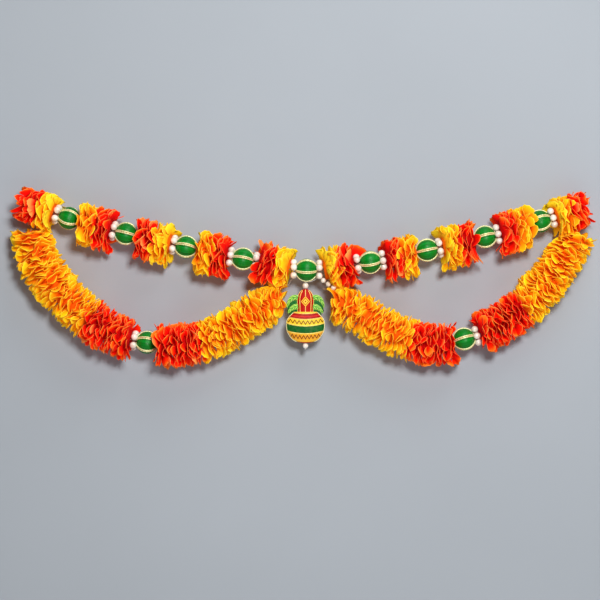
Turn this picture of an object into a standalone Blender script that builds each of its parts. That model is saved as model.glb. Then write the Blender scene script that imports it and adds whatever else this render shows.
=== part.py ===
"""Door garland of cloth flower tufts, silk-wound beads and pearls, with a painted pot pendant.

It hangs flat on a door or wall in the XZ plane, front towards -Y, centred on its bounding box.
A top strand carries ten two-coloured tufts with nine beads between them, and two long
flower swags hang below it, each with one bead at its lowest point.
"""

import math
import random

import bmesh
import bpy
from mathutils import Vector

MM = 0.001  # sizes below are in millimetres, and the meshes are made in metres
MIDDLE = (2.5, 4.8)  # of the garland's box, as (x, z) in the places below: it goes to the origin

# Centres of the top strand's beads, left to right, and of its end tufts, as (x, z). The other
# tufts fill the strand between the beads.
BEADS = [
    (-382.0, 97.5), (-287.9, 70.5), (-188.9, 48.6), (-94.9, 28.6), (9.9, 12.0),
    (114.7, 25.0), (208.7, 43.8), (304.4, 65.0), (395.2, 91.2),
]
LEFT_END_TUFT, RIGHT_END_TUFT = (-434.8, 115.5), (439.7, 107.0)
# Sides of each bead that carry a ring of pearls, -1 to its left and 1 to its right.
RING_SIDES = [(-1,), (-1,), (-1,), (-1, 1), (-1, 1), (-1, 1), (1,), (1,), (1,)]
LEFT_COLOURS = ["orange", "yellow", "orange", "yellow", "orange"]  # left half of each tuft
LEFT_COLOURS += ["yellow", "orange", "yellow", "orange", "yellow"]

# Middle line of each swag as (x, z), from its first point past the tuft it starts under.
LEFT_SWAG = [
    (-440.0, 48.0), (-427.0, 18.0), (-409.0, -8.0), (-382.0, -38.9), (-350.0, -67.0),
    (-315.0, -89.5), (-283.0, -102.5), (-253.3, -108.5), (-228.0, -112.0), (-203.8, -112.2),
    (-161.0, -105.0), (-123.0, -89.0), (-85.0, -65.0), (-57.0, -47.5), (-30.0, -36.0),
]
RIGHT_SWAG = [
    (54.5, -39.5), (77.0, -47.5), (114.7, -70.0), (144.4, -88.0), (175.7, -102.0),
    (212.0, -110.5), (241.0, -109.5), (269.8, -103.1), (297.0, -93.0), (337.4, -71.0),
    (369.0, -47.0), (401.0, -14.9), (425.5, 17.0), (441.0, 46.0),
]
LEFT_SWAG_BEAD_X, RIGHT_SWAG_BEAD_X = -253.3, 269.8
LEFT_SWAG_CHANGES = (-347.0, -161.0)  # x where the outer and inner colours meet
RIGHT_SWAG_CHANGES = (180.7, 365.0)

# Cloth
TUFT_REACH = 38.5
SWAG_REACH = 36.5
CORE = 25.0  # the tight inner cloth round the thread
CLOTH = 0.8  # thickness of a petal's rim
COLUMNS = 12  # six pointed petals a layer: a tip and a notch each
TIP_SHARES, NOTCH_SHARES = (0.92, 1.03), (0.78, 0.86)  # of the reach
TURN_SPREAD, TIP_SPREAD = 0.16, 0.1  # how far layers and tips are turned at random
RUFFLES, RUFFLE_PHASE, RUFFLE_SPREAD = 3, math.radians(45), 0.5  # waves round a layer
# Layers of half a tuft, from its outer face to its seam: place, lean outwards and ruffle.
OPEN_LAYERS = [(0.0, 6.5, 1.0), (0.45, 3.5, 2.5), (1.0, 1.8, 1.0)]
CUPPED_LAYERS = [(0.0, 13.5, 1.0), (0.45, 6.5, 2.5), (1.0, 1.8, 1.0)]
SWAG_PITCH, SWAG_LEAN, SWAG_RUFFLE = 15.5, 1.0, 7.0
# A swag's end layer lies this far in from its end, and leans out with shallower ruffles.
SWAG_END_INSET, SWAG_END_LEAN, SWAG_END_RUFFLE = 3.0, 5.0, 3.0
END_TUFT_LENGTH = 49.0
SEAM = 0.25  # half the gap between a tuft's two colours
END_SEAM = 1.0  # wider in the end tufts, where a swag's thread comes up between them
SWAG_START = 43.0  # from an end tuft's axis to the swag that hangs from it
FIT = 0.35
PRESS_GAP = 0.8  # half the gap kept between petals that press on each other

# Beads, pearls and threads
BEAD_HALF, BEAD_RADIUS, BAND_RAISE = 18.0, 18.5, 0.5
BAND_HALF_ANGLE = math.radians(6)
BEAD_LATITUDES = (-68, -36, 0, 36, 68)
BANDS = 5
# Degrees that each bead has turned on the thread: its first band's place above the front.
BAND_TURNS = (40, 7, 15, 11, -15, -17, 2, 13, 25)
LEFT_SWAG_BAND_TURN, RIGHT_SWAG_BAND_TURN = 27, 14
PEARL, RING_RADIUS, RING_PLANE = 5.2, 10.2, 21.1
RING_PEARLS, RING_PEARL_SIDES, RING_WAIST = 5, 5, 1.6
RING_TURN = math.radians(18)  # of a ring's first pearl above the front
RING_PEARL_SPAN = 0.19  # half of each ring pearl's widest stretch, as a share of its pitch
# Places along a strung pearl and its width there, as shares of its radius.
PEARL_SECTIONS = ((-0.97, 0.36), (-0.62, 0.78), (0.0, 1.0), (0.62, 0.78), (0.97, 0.36))
CHAIN_PEARL, CHAIN_COUNT = 4.3, 3
THREAD, FINE_THREAD = 0.6, 0.4
BORE, FINE_BORE = 1.0, 0.8
LOOP_RADIUS, LOOP_SIDES = 4.5, 12
TAIL = 2.0  # of the strand's thread past each end tuft, to its loop
TIE = RING_PLANE + 3.45  # where the swags' threads are tied, from the centre bead's middle
# Each swag's thread from its inner end to there, as (x, z).
LEFT_INNER_THREAD = [(-24.5, -22.0), (-14.8, -4.0)]
RIGHT_INNER_THREAD = [(34.6, -2.0), (52.0, -24.0), (52.5, -31.5)]

# Pendant
PENDANT_X = 8.2
TOP_PEARL, TOP_PEARL_Z = 4.8, -14.3
LOW_PEARL, LOW_PEARL_Z = 4.2, -113.6
KNOT = 1.1  # radius of the knot under the lower pearl, and its height
EYE_RADIUS, EYE_SIDES, EYE_CLEAR = 1.6, 8, 1.4  # its thread's eye, just past the bead's end
# The pendant's thread from its eye down past the ring of pearls and round under the bead, as
# (x, z) from the bead's middle.
PENDANT_ROUTE = [
    (19.2, -1.5), (19.0, -6.0), (18.7, -9.5), (17.2, -13.4), (13.4, -16.9), (8.3, -19.4),
    (3.0, -20.2),
]
POT_BACK, POT_COLUMNS = 4.0, 14
# Half width and front depth of the moulding at each height, from its foot to its tip.
POT_PROFILE = [
    (-109.0, 7.0, 3.0), (-107.0, 13.5, 5.0), (-103.0, 21.0, 7.0), (-96.0, 26.5, 9.0),
    (-89.5, 30.0, 10.2), (-79.0, 31.3, 10.8), (-71.0, 30.2, 10.2), (-65.0, 26.0, 8.8),
    (-60.0, 21.0, 7.4), (-59.5, 19.6, 6.6), (-56.0, 18.6, 6.2), (-55.5, 12.6, 6.0),
    (-45.0, 13.2, 7.0), (-36.0, 13.3, 7.2), (-29.0, 11.4, 6.4), (-23.5, 7.6, 4.4),
    (-19.8, 3.4, 2.6),
]
LEAF_THICK, LEAF_WIDTH = 3.0, 4.6
LEAF_SECTIONS = ((0.0, 0.55), (0.3, 1.0), (0.6, 0.95), (0.85, 0.55), (1.0, 0.12))
# Root, bend and tip of the leaves on the right, as (x from the pendant's middle, z).
LEAF_ARCS = [
    ((9.0, -44.0), (22.0, -20.0), (26.0, -43.0)),
    ((9.0, -55.0), (22.0, -39.0), (27.0, -58.0)),
]

# Colours as (red, green, blue), roughness, metallic
FINISHES = {
    "marigold_yellow": ((0.95, 0.55, 0.03), 0.8, 0.0),
    "marigold_orange": ((0.88, 0.13, 0.01), 0.8, 0.0),
    "green_silk": ((0.01, 0.36, 0.08), 0.45, 0.0),
    "pearl": ((0.90, 0.86, 0.76), 0.25, 0.0),
    "thread": ((0.80, 0.78, 0.72), 0.7, 0.0),
    "painted_pot": ((0.75, 0.45, 0.06), 0.4, 0.0),
}

FULL_TURN = 2 * math.pi


def clear_scene():
    for item in list(bpy.data.objects):
        bpy.data.objects.remove(item, do_unlink=True)


def finish(name):
    """The plain material of that name, made on first use."""
    if name in bpy.data.materials:
        return bpy.data.materials[name]
    colour, roughness, metallic = FINISHES[name]
    material = bpy.data.materials.new(name)
    material.use_nodes = True
    shader = material.node_tree.nodes["Principled BSDF"]
    shader.inputs["Base Color"].default_value = (*colour, 1.0)
    shader.inputs["Roughness"].default_value = roughness
    shader.inputs["Metallic"].default_value = metallic
    return material


def add_object(name, mesh, material):
    item = bpy.data.objects.new(name, mesh)
    item.data.materials.clear()
    item.data.materials.append(finish(material))
    GARLAND.objects.link(item)
    return item


def flat(x, z):
    return Vector((x, 0.0, z))


def up_from(along):
    """The direction square to a line in the garland's plane, upwards where it runs to +X."""
    return Vector((-along.z, 0.0, along.x))


def between(x, z, across, up):
    """The two walls of a gap between neighbours: one for what lies on the side that the
    direction (across, up) leads away from, and one for what lies on the other."""
    outwards = flat(across, up).normalized()
    middle = flat(x, z)
    return (middle - outwards * PRESS_GAP, outwards), (middle + outwards * PRESS_GAP, -outwards)


def around(centre, along, angle, radius, shift=0.0):
    """A point round an axis: angle 0 is at the front and a quarter turn is upwards."""
    across = up_from(along) * math.sin(angle) + Vector((0, -1, 0)) * math.cos(angle)
    return centre + along * shift + across * radius


def circle(centre, along, radius, columns=COLUMNS, shift=0.0):
    return [
        around(centre, along, FULL_TURN * j / columns, radius, shift) for j in range(columns)
    ]


class Line:
    """A smooth line through hand-picked points, read by the distance along it."""

    def __init__(self, points, steps=16):
        ends = [2 * points[0] - points[1]] + list(points) + [2 * points[-1] - points[-2]]
        self.points = [points[0]]
        for before, start, end, after in zip(ends, ends[1:], ends[2:], ends[3:]):
            for step in range(1, steps + 1):
                t = step / steps
                pull = (end - before) * t + (2 * before - 5 * start + 4 * end - after) * t**2
                pull += (3 * start - before - 3 * end + after) * t**3
                self.points.append(start + pull / 2)
        self.marks = [0.0]
        for a, b in zip(self.points, self.points[1:]):
            self.marks.append(self.marks[-1] + (b - a).length)
        self.length = self.marks[-1]

    def at(self, distance):
        """The point at a distance along the line, and the line's direction there."""
        index = 0
        while index < len(self.marks) - 2 and self.marks[index + 1] < distance:
            index += 1
        a, b = self.points[index], self.points[index + 1]
        point = a.lerp(b, (distance - self.marks[index]) / (b - a).length)
        low, high = max(index - 4, 0), min(index + 5, len(self.points) - 1)
        return point, (self.points[high] - self.points[low]).normalized()

    def distance_at_x(self, x):
        nearest = min(range(len(self.points)), key=lambda i: abs(self.points[i].x - x))
        return self.marks[nearest]


def loft(name, rings, material):
    """One closed body from rings of equal count, each joined to the next and the last to the
    first. A ring is its points and whether it is a petal's rim: both faces of a petal are
    split along the same diagonals, so that they stay parallel."""
    shape = bmesh.new()
    rows = [[shape.verts.new(point * MM) for point in points] for points, _ in rings]
    for k, row in enumerate(rows):
        following = (k + 1) % len(rows)
        other = rows[following]
        inwards = rings[k][1] and not rings[following][1]
        for j in range(len(row)):
            n = (j + 1) % len(row)
            if inwards:
                shape.faces.new((row[j], row[n], other[j]))
                shape.faces.new((row[n], other[n], other[j]))
            else:
                shape.faces.new((row[j], row[n], other[n]))
                shape.faces.new((row[j], other[n], other[j]))
    if shape.calc_volume(signed=True) < 0:
        bmesh.ops.reverse_faces(shape, faces=shape.faces)
    mesh = bpy.data.meshes.new(name)
    shape.to_mesh(mesh)
    shape.free()
    return add_object(name, mesh, material)


def pressed(point, walls):
    """The point pushed back onto each neighbour's wall that it would cross. A wall is a
    point on it and the direction that it keeps clear."""
    for on_wall, outwards in walls:
        point = point - outwards * max(0.0, (point - on_wall).dot(outwards))
    return point


def petal_rims(axis, station, lean, ruffle, reach, draw, walls, swap):
    """The rims of both faces of one layer of cloth petals. lean moves the tips along the
    axis, ruffle waves them to and fro, and swap turns tips and notches about."""
    centre, along = axis(station)
    turn = draw.uniform(-TURN_SPREAD, TURN_SPREAD)
    points = []
    for j in range(COLUMNS):
        tip = (j + swap) % 2 == 0
        spread = draw.uniform(-TIP_SPREAD, TIP_SPREAD) if tip else 0.0
        angle = FULL_TURN * j / COLUMNS + turn + spread
        radius = reach * draw.uniform(*(TIP_SHARES if tip else NOTCH_SHARES))
        shift = lean + ruffle * math.cos(RUFFLES * angle + RUFFLE_PHASE)
        shift += draw.uniform(-RUFFLE_SPREAD, RUFFLE_SPREAD)
        shift *= 1.0 if tip else 0.5
        points.append(pressed(around(centre, along, angle, radius, shift), walls))
    return [([point + along * side * CLOTH for point in points], True) for side in (-0.5, 0.5)]


def valley(axis, station, walls):
    """The ring where the petals on both sides of it meet the core."""
    return [pressed(point, walls) for point in circle(*axis(station), CORE)], False


def half_tuft(name, colour, axis, outer, inner, cupped, draw, walls):
    """One colour of a tuft, from its outer face to its seam: layers of petals round a core,
    bored for the thread. The petals of the outer face lean out past it, and further where
    they cup a ring of pearls."""
    away = 1 if outer > inner else -1
    length = abs(outer - inner)
    rings = [(circle(*axis(outer), BORE), False), valley(axis, outer, walls)]
    layers = CUPPED_LAYERS if cupped else OPEN_LAYERS
    for k, (share, lean, ruffle) in enumerate(layers):
        clear = CLOTH / 2 * (1 if share == 0 else -1 if share == 1 else 0)
        station = outer - away * (length * share + clear)
        if k > 0:
            rings.append(valley(axis, (station + last) / 2, walls))
        last = station
        rims = petal_rims(axis, station, away * lean, ruffle, TUFT_REACH, draw, walls, k)
        rings += rims if away < 0 else rims[::-1]
    rings.append((circle(*axis(inner), BORE), False))
    loft(name, rings, f"marigold_{colour}")


def swag_piece(name, colour, line, start, end, draw, walls, open_at_start):
    """One colour of a swag: layers of petals along a curved core. Petals lean out of its
    open end, and its other end meets the next colour. It returns the points that its thread
    passes, where its bore turns."""
    count = max(2, round((end - start) / SWAG_PITCH))
    half_pitch = (end - start) / count / 2
    low = start + (SWAG_END_INSET if open_at_start else half_pitch)
    high = end - (half_pitch if open_at_start else SWAG_END_INSET)
    stations = [low + (high - low) * k / (count - 1) for k in range(count)]
    rings = [valley(line.at, start, walls)]
    for k, station in enumerate(stations):
        if k > 0:
            rings.append(valley(line.at, (stations[k - 1] + station) / 2, walls))
        lean, ruffle = draw.uniform(-SWAG_LEAN, SWAG_LEAN), SWAG_RUFFLE
        if k == (0 if open_at_start else count - 1):
            lean, ruffle = -SWAG_END_LEAN if open_at_start else SWAG_END_LEAN, SWAG_END_RUFFLE
        rings += petal_rims(line.at, station, lean, ruffle, SWAG_REACH, draw, walls, k)
    rings.append(valley(line.at, end, walls))
    bore = [start + (end - start) * k / (count // 3 + 1) for k in range(count // 3 + 1)] + [end]
    rings += [(circle(*line.at(place), BORE), False) for place in reversed(bore)]
    loft(name, rings, f"marigold_{colour}")
    return [line.at(place)[0] for place in bore]


def wound_bead(name, centre, along, turn):
    """An oval bead with raised bands from pole to pole, bored along its length."""
    angles, raises = [], []
    for k in range(BANDS):
        band = math.radians(turn) + FULL_TURN * k / BANDS
        angles += [band - BAND_HALF_ANGLE, band + BAND_HALF_ANGLE, band + FULL_TURN / BANDS / 2]
        raises += [BAND_RAISE, BAND_RAISE, 0.0]
    rings = [([around(centre, along, a, BORE, -BEAD_HALF) for a in angles], False)]
    for latitude in BEAD_LATITUDES:
        tilt = math.radians(latitude)
        points = []
        for angle, lift in zip(angles, raises):
            radius = (BEAD_RADIUS + lift) * math.cos(tilt)
            points.append(around(centre, along, angle, radius, BEAD_HALF * math.sin(tilt)))
        rings.append((points, False))
    rings.append(([around(centre, along, a, BORE, BEAD_HALF) for a in angles], False))
    loft(name, rings, "green_silk")


def pearl_ring(name, centre, along):
    """Pearls strung in a ring round the thread, each joined to the next at its waist. The
    gap between two pearls is at the bottom."""
    rings = []
    spans = ((-0.5, RING_WAIST), (-RING_PEARL_SPAN, PEARL), (RING_PEARL_SPAN, PEARL))
    for k in range(RING_PEARLS):
        for offset, radius in spans:
            angle = RING_TURN + FULL_TURN * (k + offset) / RING_PEARLS
            outwards = around(Vector(), along, angle, 1.0)
            points = []
            for side in range(RING_PEARL_SIDES):
                turn = FULL_TURN * side / RING_PEARL_SIDES
                across = outwards * math.cos(turn) + along * math.sin(turn)
                points.append(centre + outwards * RING_RADIUS + across * radius)
            rings.append((points, False))
    loft(name, rings, "pearl")


def pearl_string(name, line, start, radius, count, bore, columns=8):
    """Pearls in a row on a thread, each joined to the next at its waist, bored for it."""
    rings = []
    for k in range(count):
        middle = start + radius * (2 * k + 1)
        for place, width in PEARL_SECTIONS:
            point, along = line.at(middle + place * radius)
            rings.append((circle(point, along, width * radius, columns), False))
    first, last = PEARL_SECTIONS[0][0], PEARL_SECTIONS[-1][0]
    turns = [1 + first] + [2 * k for k in range(1, count)] + [2 * count - 1 + last]
    for place in reversed(turns):
        rings.append((circle(*line.at(start + place * radius), bore, columns), False))
    loft(name, rings, "pearl")


def tube(points, radius, closed=False):
    """A thread as a closed mesh object, for joining to others."""
    curve = bpy.data.curves.new("thread_curve", "CURVE")
    curve.dimensions = "3D"
    curve.bevel_depth = radius * MM
    curve.bevel_resolution = 2
    curve.use_fill_caps = not closed
    spline = curve.splines.new("POLY")
    spline.points.add(len(points) - 1)
    for knot, point in zip(spline.points, points):
        knot.co = (*(point * MM), 1.0)
    spline.use_cyclic_u = closed
    guide = bpy.data.objects.new("thread_curve", curve)
    GARLAND.objects.link(guide)
    graph = bpy.context.evaluated_depsgraph_get()
    mesh = bpy.data.meshes.new_from_object(guide.evaluated_get(graph))
    bpy.data.objects.remove(guide, do_unlink=True)
    shape = bmesh.new()
    shape.from_mesh(mesh)
    bmesh.ops.remove_doubles(shape, verts=shape.verts, dist=0.00001)
    bmesh.ops.recalc_face_normals(shape, faces=shape.faces)
    shape.to_mesh(mesh)
    shape.free()
    return mesh


def fused(name, meshes, material):
    """One object from overlapping meshes, by one Boolean union."""
    item = add_object(name, meshes[0], material)
    others = bpy.data.collections.new(name + "_pieces")
    bpy.context.scene.collection.children.link(others)
    for mesh in meshes[1:]:
        others.objects.link(bpy.data.objects.new(name + "_piece", mesh))
    union = item.modifiers.new("union", "BOOLEAN")
    union.operation = "UNION"
    union.operand_type = "COLLECTION"
    union.collection = others
    graph = bpy.context.evaluated_depsgraph_get()
    result = bpy.data.meshes.new_from_object(item.evaluated_get(graph))
    item.modifiers.clear()
    item.data = result
    item.data.materials.clear()
    item.data.materials.append(finish(material))
    for piece in list(others.objects):
        bpy.data.objects.remove(piece, do_unlink=True)
    bpy.data.collections.remove(others)
    return item


def stand_off(k, side, bead_axis, along):
    """How far a tuft's face keeps from the middle of its neighbour, bead k: past the bead's
    end, or past the ring of pearls between them."""
    if side not in RING_SIDES[k]:
        return BEAD_HALF + FIT
    tilt = bead_axis.angle(along)
    return RING_PLANE + PEARL + FIT + (RING_RADIUS + PEARL) * math.sin(tilt)


def tuft_ends(beads, bead_axes, k):
    """Where tuft k's core starts and ends, between its two beads."""
    last = len(beads)
    if k == 0:
        along = (beads[0] - flat(*LEFT_END_TUFT)).normalized()
        high = beads[0] - bead_axes[0] * stand_off(0, -1, bead_axes[0], along)
        along = (high - flat(*LEFT_END_TUFT)).normalized()
        return high - along * END_TUFT_LENGTH, high
    if k == last:
        along = (flat(*RIGHT_END_TUFT) - beads[-1]).normalized()
        low = beads[-1] + bead_axes[-1] * stand_off(last - 1, 1, bead_axes[-1], along)
        along = (flat(*RIGHT_END_TUFT) - low).normalized()
        return low, low + along * END_TUFT_LENGTH
    along = (beads[k] - beads[k - 1]).normalized()
    low = beads[k - 1] + bead_axes[k - 1] * stand_off(k - 1, 1, bead_axes[k - 1], along)
    high = beads[k] - bead_axes[k] * stand_off(k, -1, bead_axes[k], along)
    return low, high


def strand():
    """The top strand's beads, pearl rings and tufts. It returns the thread's points through
    them, the end tufts' seams and axes, and the centre bead's middle and axis."""
    beads = [flat(*place) for place in BEADS]
    knots = [flat(*LEFT_END_TUFT)] + beads + [flat(*RIGHT_END_TUFT)]
    bead_axes = [(b - a).normalized() for a, b in zip(knots, knots[2:])]
    path, ends = [], []
    for k in range(len(beads) + 1):
        low, high = tuft_ends(beads, bead_axes, k)
        along = (high - low).normalized()
        length = (high - low).length
        at_end = k in (0, len(beads))
        gap = END_SEAM if at_end else SEAM
        walls = TUFT_WALLS.get(k, [])
        first, second = LEFT_COLOURS[k], "yellow" if LEFT_COLOURS[k] == "orange" else "orange"
        cupped = [k > 0 and 1 in RING_SIDES[k - 1], k < len(beads) and -1 in RING_SIDES[k]]

        def axis(station, low=low, along=along):
            return low + along * station, along

        label = f"tuft_{k + 1:02d}"
        draw = random.Random(100 + k)
        seam = length / 2
        half_tuft(f"{label}_{first}", first, axis, 0.0, seam - gap, cupped[0], draw, walls)
        half_tuft(f"{label}_{second}", second, axis, length, seam + gap, cupped[1], draw, walls)
        path.append(low)
        if at_end:
            path.append(low + along * seam)
            ends.append((low + along * seam, along))
        path.append(high)
        if k < len(beads):
            bead, bead_axis = beads[k], bead_axes[k]
            wound_bead(f"bead_{k + 1:02d}", bead, bead_axis, BAND_TURNS[k])
            for side in RING_SIDES[k]:
                ring = f"pearl_ring_{k + 1:02d}_{'left' if side < 0 else 'right'}"
                pearl_ring(ring, bead + bead_axis * side * RING_PLANE, bead_axis)
    centre = len(beads) // 2
    return path, ends, (beads[centre], bead_axes[centre])


def swag(side, line, bead_x, turn, changes, ring_side, walls):
    """One swag, its bead and its ring of pearls, with the walls that press on each of its
    stretches. It returns its thread's points."""
    bead_at = line.distance_at_x(bead_x)
    middle, bead_axis = line.at(bead_at)
    faces = []
    for way in (-1, 1):
        if way == ring_side:
            tilt = bead_axis.angle(line.at(bead_at + way * (RING_PLANE + PEARL))[1])
            outer = RING_RADIUS + PEARL
            faces.append(bead_at + way * (RING_PLANE + PEARL + FIT + outer * math.sin(tilt)))
        else:
            tilt = bead_axis.angle(line.at(bead_at + way * BEAD_HALF)[1])
            faces.append(bead_at + way * (BEAD_HALF + FIT + BEAD_RADIUS * tilt**2))
    first_change, last_change = (line.distance_at_x(x) for x in changes)
    stretches = [
        ("1_yellow", 0.0, first_change - SEAM),
        ("2_orange", first_change + SEAM, faces[0]),
        ("3_orange", faces[1], last_change - SEAM),
        ("4_yellow", last_change + SEAM, line.length),
    ]
    path = []
    for k, (label, start, end) in enumerate(stretches):
        draw = random.Random((200 if side == "left" else 300) + k)
        name = f"swag_{side}_{label}"
        colour = label.split("_")[1]
        press = walls.get(k, [])
        path += swag_piece(name, colour, line, start, end, draw, press, k % 2 == 0)
        if k == 1:
            path += [middle - bead_axis * BEAD_HALF, middle + bead_axis * BEAD_HALF]
    wound_bead(f"bead_{side}_swag", middle, bead_axis, turn)
    pearl_ring(f"pearl_ring_{side}_swag", middle + bead_axis * ring_side * RING_PLANE, bead_axis)
    return path


def leaf(root, bend, tip):
    """A drooping leaf of diamond section along an arc, as a mesh."""
    shape = bmesh.new()
    rows = []
    for t, width in LEAF_SECTIONS:
        point = root * (1 - t) ** 2 + bend * 2 * t * (1 - t) + tip * t**2
        along = ((bend - root) * (1 - t) + (tip - bend) * t).normalized()
        half = up_from(along) * LEAF_WIDTH * width
        thick = Vector((0, LEAF_THICK * (0.5 + 0.5 * width) / 2, 0))
        corners = (point + half, point - thick, point - half, point + thick)
        rows.append([shape.verts.new(corner * MM) for corner in corners])
    for row, other in zip(rows, rows[1:]):
        for j in range(4):
            n = (j + 1) % 4
            shape.faces.new((row[j], row[n], other[n], other[j]))
    shape.faces.new(rows[0])
    shape.faces.new(rows[-1][::-1])
    bmesh.ops.triangulate(shape, faces=shape.faces)
    bmesh.ops.recalc_face_normals(shape, faces=shape.faces)
    mesh = bpy.data.meshes.new("leaf")
    shape.to_mesh(mesh)
    shape.free()
    return mesh


def pot_pendant():
    """The moulded pendant: a round-bellied water pot with a coconut and four drooping mango
    leaves in its mouth, domed in front and flat behind, bored from top to bottom."""
    angles = [FULL_TURN * (j + 0.5) / POT_COLUMNS for j in range(POT_COLUMNS)]
    rings = []
    for height, half, depth in POT_PROFILE:
        points = []
        for angle in angles:
            x, y = half * math.sin(angle), -depth * math.cos(angle)
            y = y if y < 0 else min(2 * y, POT_BACK, depth)
            points.append(Vector((PENDANT_X + x, y, height)))
        rings.append((points, False))
    bore = []
    for height in (POT_PROFILE[0][0], POT_PROFILE[-1][0]):
        points = []
        for angle in angles:
            x, y = FINE_BORE * math.sin(angle), -FINE_BORE * math.cos(angle)
            points.append(Vector((PENDANT_X + x, y, height)))
        bore.append(points)
    rings = [(bore[0], False)] + rings + [(bore[1], False)]
    body = loft("kalash_body", rings, "painted_pot")
    meshes = [body.data]
    bpy.data.objects.remove(body, do_unlink=True)
    for side in (-1, 1):
        for arc in LEAF_ARCS:
            meshes.append(leaf(*[flat(PENDANT_X + side * x, z) for x, z in arc]))
    fused("kalash", meshes, "painted_pot")


def pendant(bead, bead_axis):
    """The pendant, its pearls and its own thread, which is looped round the strand's thread
    beside the centre bead, runs round under the bead and down through the pendant."""
    points = [bead + flat(x, z) for x, z in PENDANT_ROUTE]
    top = TOP_PEARL_Z + TOP_PEARL
    points += [flat(PENDANT_X + 1.0, top + 1.2), flat(PENDANT_X, top + 0.3)]
    low = LOW_PEARL_Z - LOW_PEARL
    points += [flat(PENDANT_X, POT_PROFILE[-1][0]), flat(PENDANT_X, low - KNOT)]
    hang = bead + bead_axis * (BEAD_HALF + EYE_CLEAR)
    eye = circle(hang, bead_axis, EYE_RADIUS, EYE_SIDES)
    knot = [flat(PENDANT_X, low - FIT - KNOT * share) for share in (0, 0.5, 1)]
    pieces = [tube(points, FINE_THREAD), tube(eye, FINE_THREAD, closed=True), tube(knot, KNOT)]
    fused("pendant_thread", pieces, "thread")
    for name, radius, height in (
        ("pearl_top", TOP_PEARL, TOP_PEARL_Z),
        ("pearl_bottom", LOW_PEARL, LOW_PEARL_Z),
    ):
        ends = [flat(PENDANT_X, height - radius), flat(PENDANT_X, height + radius)]
        pearl_string(name, Line(ends), 0.0, radius, 1, FINE_BORE)
    pot_pendant()


clear_scene()
GARLAND = bpy.data.collections.new("door_garland")
bpy.context.scene.collection.children.link(GARLAND)

# Where petals press on their neighbours: each swag's ends against the tufts above them, and
# the middle tufts' sides, which lean away from the centre bead and its threads.
left_end_swag, left_end_tuft = between(-435.0, 78.0, 0.37, 0.93)
right_end_swag, right_end_tuft = between(437.0, 66.0, -0.481, 0.876)
left_mid_swag, left_mid_tuft = between(-42.0, -17.6, 0.0, 1.0)
right_mid_swag, right_mid_tuft = between(65.0, -17.6, 0.0, 1.0)
TUFT_WALLS = {
    0: [left_end_tuft],
    4: [left_mid_tuft, (flat(-14.7, 14.0), flat(59, -25).normalized())],
    5: [right_mid_tuft, (flat(39.5, 17.0), flat(-62, -34).normalized())],
    9: [right_end_tuft],
}
LEFT_SWAG_WALLS = {0: [left_end_swag], 3: [left_mid_swag, (flat(-22.0, -40.0), flat(1, 0))]}
CHAIN_WALL = (flat(65.0, -23.5), flat(0, 1))
RIGHT_SWAG_WALLS = {0: [CHAIN_WALL, (flat(37.4, -40.0), flat(-1, 0))], 3: [right_end_swag]}

strand_path, end_tufts, centre_bead = strand()
(left_middle, left_axis), (right_middle, right_axis) = end_tufts
left_start = left_middle - up_from(left_axis) * SWAG_START
right_end = right_middle - up_from(right_axis) * SWAG_START
left_line = Line([left_start] + [flat(*place) for place in LEFT_SWAG])
right_line = Line([flat(*place) for place in RIGHT_SWAG] + [right_end])
left_path = swag(
    "left", left_line, LEFT_SWAG_BEAD_X, LEFT_SWAG_BAND_TURN, LEFT_SWAG_CHANGES, -1, LEFT_SWAG_WALLS
)
right_path = swag(
    "right", right_line, RIGHT_SWAG_BEAD_X, RIGHT_SWAG_BAND_TURN, RIGHT_SWAG_CHANGES, 1,
    RIGHT_SWAG_WALLS,
)

# Threads: one along the strand with a loop at each end to hang it by, and one in each swag,
# tied to it in an end tuft and beside the centre bead, past the gap in its ring of pearls.
bead, bead_axis = centre_bead
left_inner = [flat(*place) for place in LEFT_INNER_THREAD] + [bead - bead_axis * TIE]
right_inner = [bead + bead_axis * TIE] + [flat(*place) for place in RIGHT_INNER_THREAD]
loops = []
for point, along, way in ((strand_path[0], left_axis, -1), (strand_path[-1], right_axis, 1)):
    middle = point + along * way * (LOOP_RADIUS + TAIL)
    turns = [FULL_TURN * k / LOOP_SIDES for k in range(LOOP_SIDES)]
    loops.append([middle + flat(math.cos(turn), math.sin(turn)) * LOOP_RADIUS for turn in turns])
ends = [strand_path[0] - left_axis * TAIL, strand_path[-1] + right_axis * TAIL]
threads = [
    tube([ends[0]] + strand_path + [ends[1]], THREAD),
    tube([left_middle] + left_path + left_inner, THREAD),
    tube(right_inner + right_path + [right_middle], THREAD),
    tube(loops[0], THREAD, closed=True),
    tube(loops[1], THREAD, closed=True),
]
fused("stringing_thread", threads, "thread")
chain_line = Line(right_inner[1:3], steps=1)
pearl_string("pearl_chain", chain_line, FIT, CHAIN_PEARL, CHAIN_COUNT, BORE, columns=7)
pendant(bead, bead_axis)

# All pieces hang from one empty, which puts the middle of the garland's box at the origin.
hanger = bpy.data.objects.new("garland_middle", None)
GARLAND.objects.link(hanger)
hanger.location = flat(*MIDDLE) * -MM
for piece in GARLAND.objects:
    if piece != hanger:
        piece.parent = hanger
bpy.context.view_layer.update()
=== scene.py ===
"""Looks of the door garland: cloth marigold tufts and swags, silk-wound beads, pearls and a
painted pot pendant, hung on a pale wall."""
import math
import random

import bpy
from mathutils import Matrix, Vector, noise


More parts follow.
